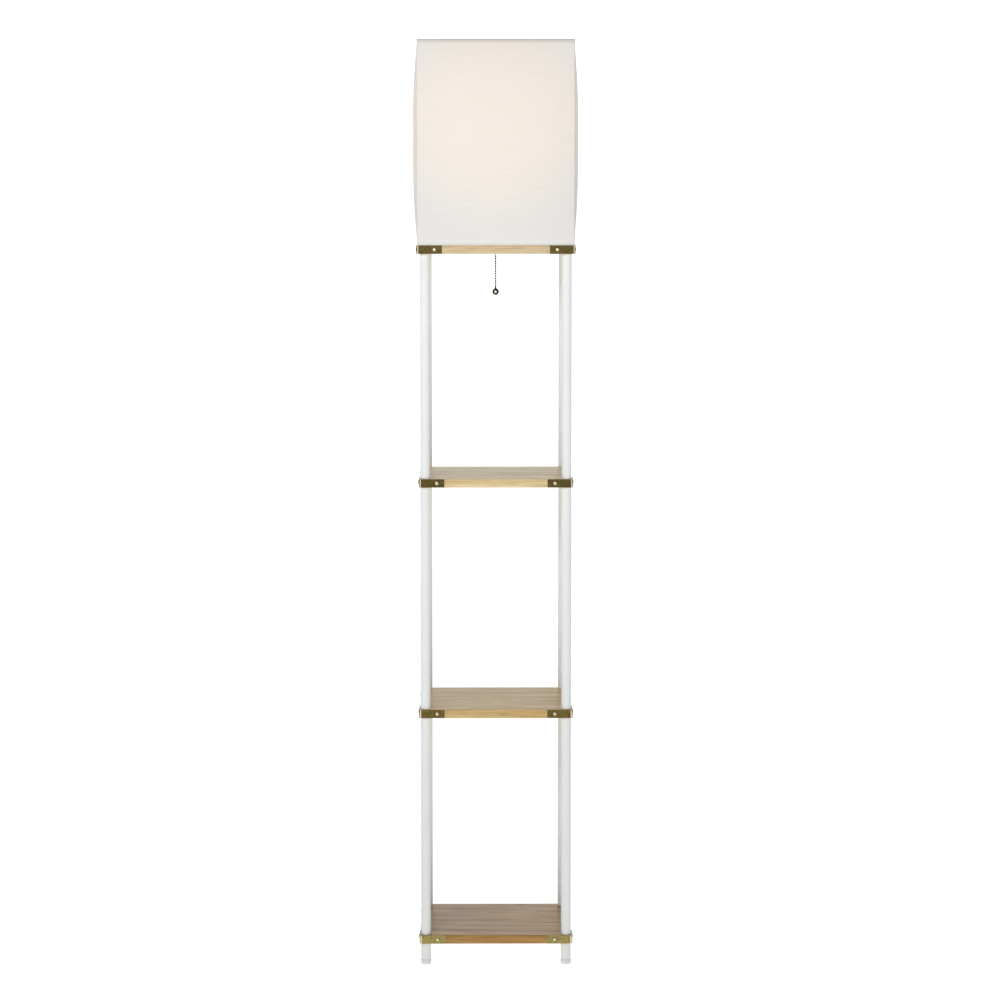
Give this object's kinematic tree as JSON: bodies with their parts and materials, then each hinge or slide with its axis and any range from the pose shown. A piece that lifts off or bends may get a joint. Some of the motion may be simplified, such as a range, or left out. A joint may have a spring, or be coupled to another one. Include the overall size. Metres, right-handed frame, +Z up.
{
  "type": "shelf floor lamp",
  "caption": "Floor lamp with three square oak shelves and a top board on round white posts, brass corner brackets, a square bowed fabric shade and a bead pull chain.",
  "frame": {"origin": "on the floor under the middle of the lamp", "axes": "+Z up, the front faces -Y, +X to the right seen from the front"},
  "size_m": [0.2876, 0.2876, 1.6],
  "materials": {
    "oak": "satin",
    "white_lacquer": "satin",
    "foot_plastic": "matte",
    "zinc_steel": "satin",
    "antique_brass": "satin",
    "contact_brass": "satin",
    "bronze_chain": "satin",
    "shade_linen": "matte",
    "frame_wire": "satin",
    "lead_sleeve": "matte",
    "socket_plastic": "gloss",
    "switch_plastic": "gloss",
    "shell_aluminium": "satin",
    "bulb_plastic": "matte",
    "opal_diffuser": "matte"
  },
  "bodies": {
    "stand": {"top_board": "oak", "upper_shelf": "oak", "middle_shelf": "oak", "lower_shelf": "oak", "upper_post_front_left": "white_lacquer", "upper_post_front_right": "white_lacquer", "upper_post_back_left": "white_lacquer", "upper_post_back_right": "white_lacquer", "middle_post_front_left": "white_lacquer", "middle_post_front_right": "white_lacquer", "middle_post_back_left": "white_lacquer", "middle_post_back_right": "white_lacquer", "lower_post_front_left": "white_lacquer", "lower_post_front_right": "white_lacquer", "lower_post_back_left": "white_lacquer", "lower_post_back_right": "white_lacquer", "legs": "white_lacquer", "leg_feet": "foot_plastic", "post_studs": "zinc_steel", "top_screws": "zinc_steel", "lower_shelf_brackets": "antique_brass", "middle_shelf_brackets": "antique_brass", "upper_shelf_brackets": "antique_brass", "top_board_brackets": "antique_brass", "bracket_tacks": "antique_brass", "shade_fabric": "shade_linen", "shade_top_ring": "frame_wire", "shade_bottom_ring": "frame_wire", "shade_corner_struts": "frame_wire", "riser_tube": "white_lacquer", "threaded_pipe": "zinc_steel", "pipe_washer": "zinc_steel", "pipe_nut": "zinc_steel", "lamp_leads": "lead_sleeve", "socket_body": "socket_plastic", "socket_screw_shell": "shell_aluminium", "socket_contact": "contact_brass", "switch_housing": "switch_plastic", "switch_cover": "switch_plastic", "switch_nut": "zinc_steel", "lever_pin": "zinc_steel", "switch_contacts": "contact_brass", "switch_lead": "lead_sleeve"},
    "pull_chain": {"chain_in_switch": "bronze_chain"},
    "lever": {"switch_lever": "zinc_steel"},
    "chain_upper_swing": {"chain_middle": "bronze_chain"},
    "chain_tail": {"chain_lower": "bronze_chain", "chain_connector": "bronze_chain", "chain_ball": "bronze_chain"},
    "bulb_tip": {"bulb_contact": "contact_brass"},
    "bulb": {"bulb_cap": "shell_aluminium", "bulb_housing": "bulb_plastic", "bulb_globe": "opal_diffuser"}
  },
  "joints": [
    {"name": "chain_pull", "type": "slide", "parent": "stand", "child": "pull_chain", "axis": [0, 0, -1], "range_m": [0, 0.007], "stiffness_N_per_m": 200, "springref_m": -0.01},
    {"name": "switch_lever_turn", "type": "hinge", "parent": "stand", "child": "lever", "pos_m": [0, -0.0437, 1.25799], "axis": [-1, 0, 0], "range_deg": [0, 40.2]},
    {"name": "chain_swing", "type": "hinge", "parent": "pull_chain", "child": "chain_upper_swing", "pos_m": [0, -0.034, 1.2334], "axis": [0, 1, 0], "range_deg": [-40, 40]},
    {"name": "chain_tail_swing", "type": "hinge", "parent": "chain_upper_swing", "child": "chain_tail", "pos_m": [0, -0.034, 1.20754], "axis": [1, 0, 0], "range_deg": [-40, 40]},
    {"name": "bulb_turn", "type": "hinge", "parent": "bulb_tip", "child": "bulb", "pos_m": [0, 0, 1.4], "axis": [0, 0, 1], "range_deg": [0, 1440]},
    {"name": "bulb_lift", "type": "slide", "parent": "stand", "child": "bulb_tip", "axis": [0, 0, 1], "range_m": [0, 0.01454]}
  ],
  "couplings": [
    {"joint": "switch_lever_turn", "follows": "chain_pull", "rad_per_m": 100},
    {"joint": "bulb_lift", "follows": "bulb_turn", "m_per_rad": 0.000578}
  ]
}
